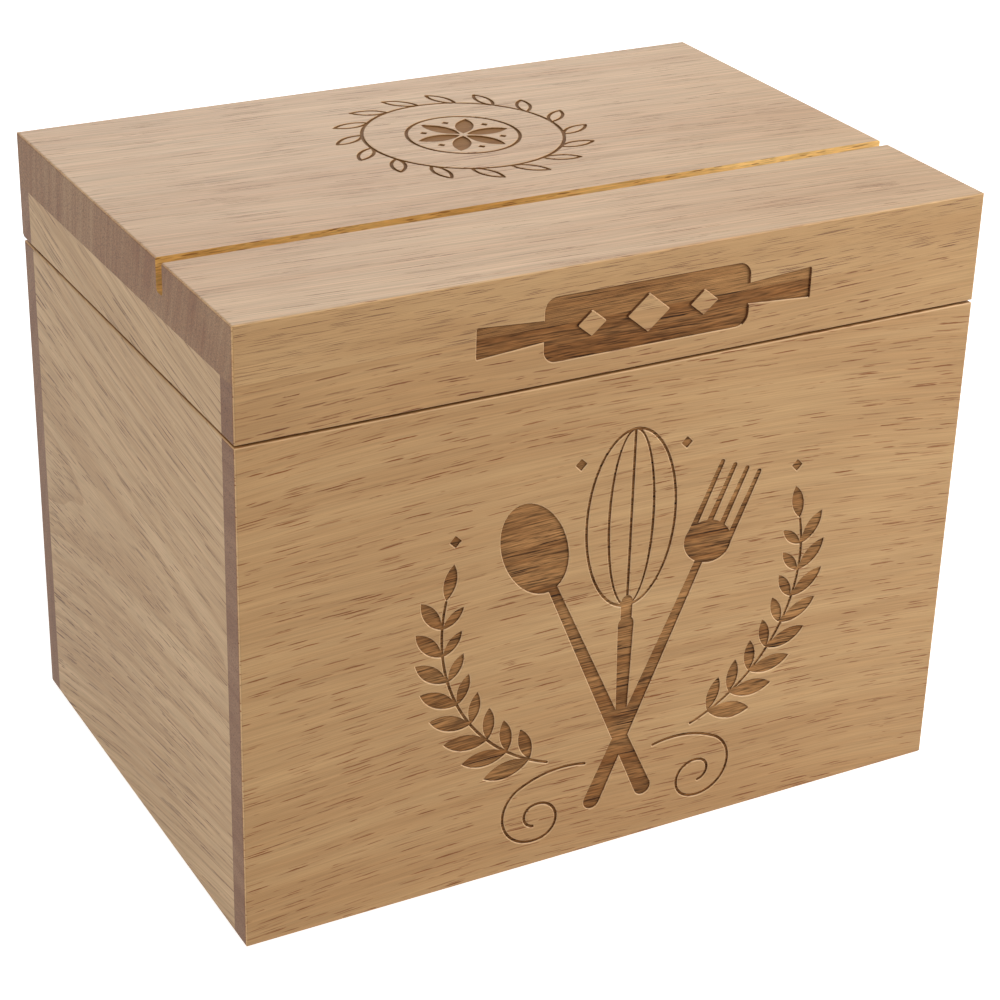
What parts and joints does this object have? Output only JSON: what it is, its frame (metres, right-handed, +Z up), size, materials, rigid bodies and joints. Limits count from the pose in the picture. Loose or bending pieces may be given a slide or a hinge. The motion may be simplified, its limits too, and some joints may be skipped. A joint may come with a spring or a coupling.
{
  "type": "recipe card box",
  "caption": "Wooden box for recipe cards with a lid hinged at the back; a slot across the thick lid board holds a card upright while it is read.",
  "frame": {"origin": "centre of the closed box's footprint, on the surface that it stands on", "axes": "+Z up, front of the box towards -Y, +X along the width to the right of someone who faces the front"},
  "size_m": [0.184, 0.129, 0.149],
  "materials": {
    "panel_wood": "sanded rubberwood, thin satin oil, grain along the board",
    "side_wood": "sanded rubberwood, thin satin oil, grain front to back",
    "top_wood": "sanded rubberwood, thin satin oil, grain along the width",
    "bottom_wood": "plain sanded panel",
    "hinge_brass": "rolled brass, lightly polished",
    "pin_brass": "drawn brass wire",
    "screw_brass": "turned brass"
  },
  "bodies": {
    "base": {"base_front_panel": "panel_wood", "base_back_panel": "panel_wood", "base_left_panel": "side_wood", "base_right_panel": "side_wood", "base_bottom_panel": "bottom_wood", "left_hinge_base_leaf": "hinge_brass", "right_hinge_base_leaf": "hinge_brass", "left_hinge_pin": "pin_brass", "right_hinge_pin": "pin_brass", "base_hinge_screws": "screw_brass"},
    "lid": {"lid_top_board": "top_wood", "lid_front_rail": "panel_wood", "lid_back_rail": "panel_wood", "lid_left_rail": "side_wood", "lid_right_rail": "side_wood", "left_hinge_lid_leaf": "hinge_brass", "right_hinge_lid_leaf": "hinge_brass", "lid_hinge_screws": "screw_brass"}
  },
  "joints": [
    {"name": "lid_hinge", "type": "hinge", "parent": "base", "child": "lid", "pos_m": [0, 0.06305, 0.12265], "axis": [-1, 0, 0], "range_deg": [0, 110]}
  ]
}
